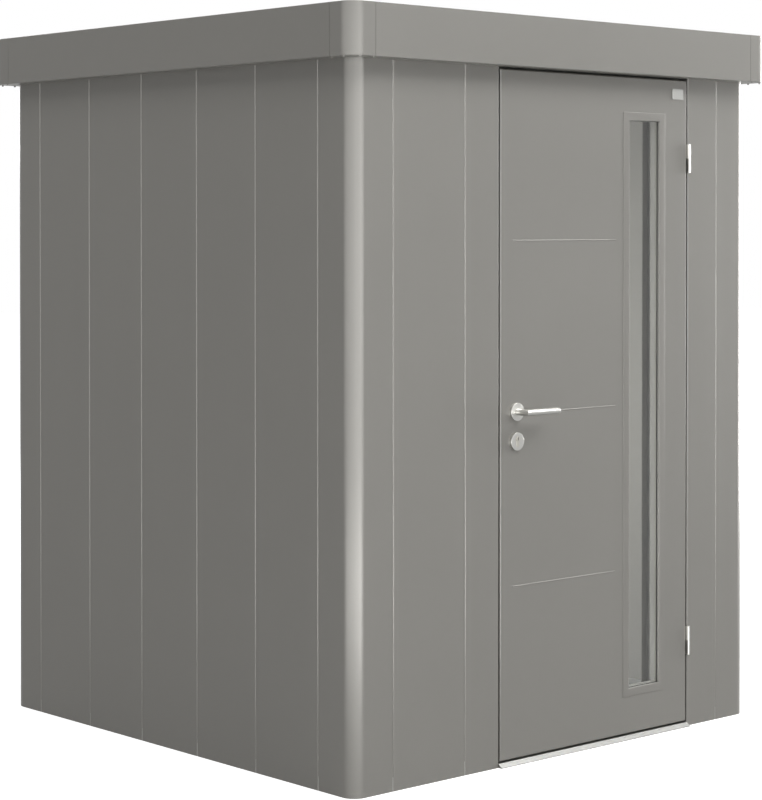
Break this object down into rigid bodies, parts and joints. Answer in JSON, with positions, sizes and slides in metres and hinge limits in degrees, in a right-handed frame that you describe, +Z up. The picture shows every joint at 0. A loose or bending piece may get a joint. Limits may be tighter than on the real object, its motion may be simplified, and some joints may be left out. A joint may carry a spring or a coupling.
{
  "type": "metal tool shed",
  "caption": "Square flat-roofed metal tool shed of folded upright panels with rounded corners and a hinged door that has a tall narrow window and a lever handle.",
  "frame": {"origin": "on the ground at the centre of the square of walls", "axes": "+Z up, -Y out through the door, +X towards the hinge side of the door"},
  "size_m": [1.8, 1.81, 2.205],
  "materials": {
    "paint": "satin warm grey coil coating",
    "roof_paint": "satin coil coating",
    "sill_aluminium": "brushed",
    "rail_aluminium": "mill finish",
    "badge_aluminium": "satin anodised",
    "galvanised_steel": "hot-dip galvanised",
    "stainless": "satin",
    "nickel": "nickel plated",
    "acrylic": "clear"
  },
  "bodies": {
    "shed": {"floor_rail_left": "rail_aluminium", "floor_rail_right": "rail_aluminium", "floor_rail_back": "rail_aluminium", "floor_rail_front": "rail_aluminium", "door_threshold": "sill_aluminium", "corner_front_left": "paint", "corner_front_right": "paint", "corner_back_left": "paint", "corner_back_right": "paint", "front_wall_panel": "paint", "left_wall_panels": "paint", "right_wall_panels": "paint", "back_wall_panels": "paint", "door_jamb_left": "paint", "door_jamb_right": "paint", "door_head": "paint", "top_rail_front": "rail_aluminium", "top_rail_right": "rail_aluminium", "top_rail_back": "rail_aluminium", "top_rail_left": "rail_aluminium", "fascia_front": "paint", "fascia_right": "paint", "fascia_back": "paint", "fascia_left": "paint", "fascia_corners": "paint", "roof_beams": "galvanised_steel", "roof_panels": "roof_paint", "roof_gutter": "galvanised_steel", "jamb_hinges": "stainless", "strike_plate": "stainless"},
    "door": {"door_outer_skin": "paint", "door_inner_skin": "paint", "window_frame_outer": "paint", "window_frame_inner": "paint", "window_pane": "acrylic", "badge_plate": "badge_aluminium", "lever_rosettes": "stainless", "cylinder_rosettes": "stainless", "lock_cylinder": "nickel", "lock_case": "galvanised_steel", "lock_faceplate": "stainless", "door_hinges": "stainless"},
    "handle": {"lever_outer": "stainless", "lever_inner": "stainless", "handle_spindle": "galvanised_steel"}
  },
  "joints": [
    {"name": "door_hinge", "type": "hinge", "parent": "shed", "child": "door", "pos_m": [0.56, -0.856, 0], "axis": [0, 0, 1], "range_deg": [0, 110]},
    {"name": "handle_turn", "type": "hinge", "parent": "door", "child": "handle", "pos_m": [-0.2125, -0.85, 1.041], "axis": [0, 1, 0], "range_deg": [0, 35], "stiffness_Nm_per_rad": 2, "springref_deg": -28.65}
  ]
}
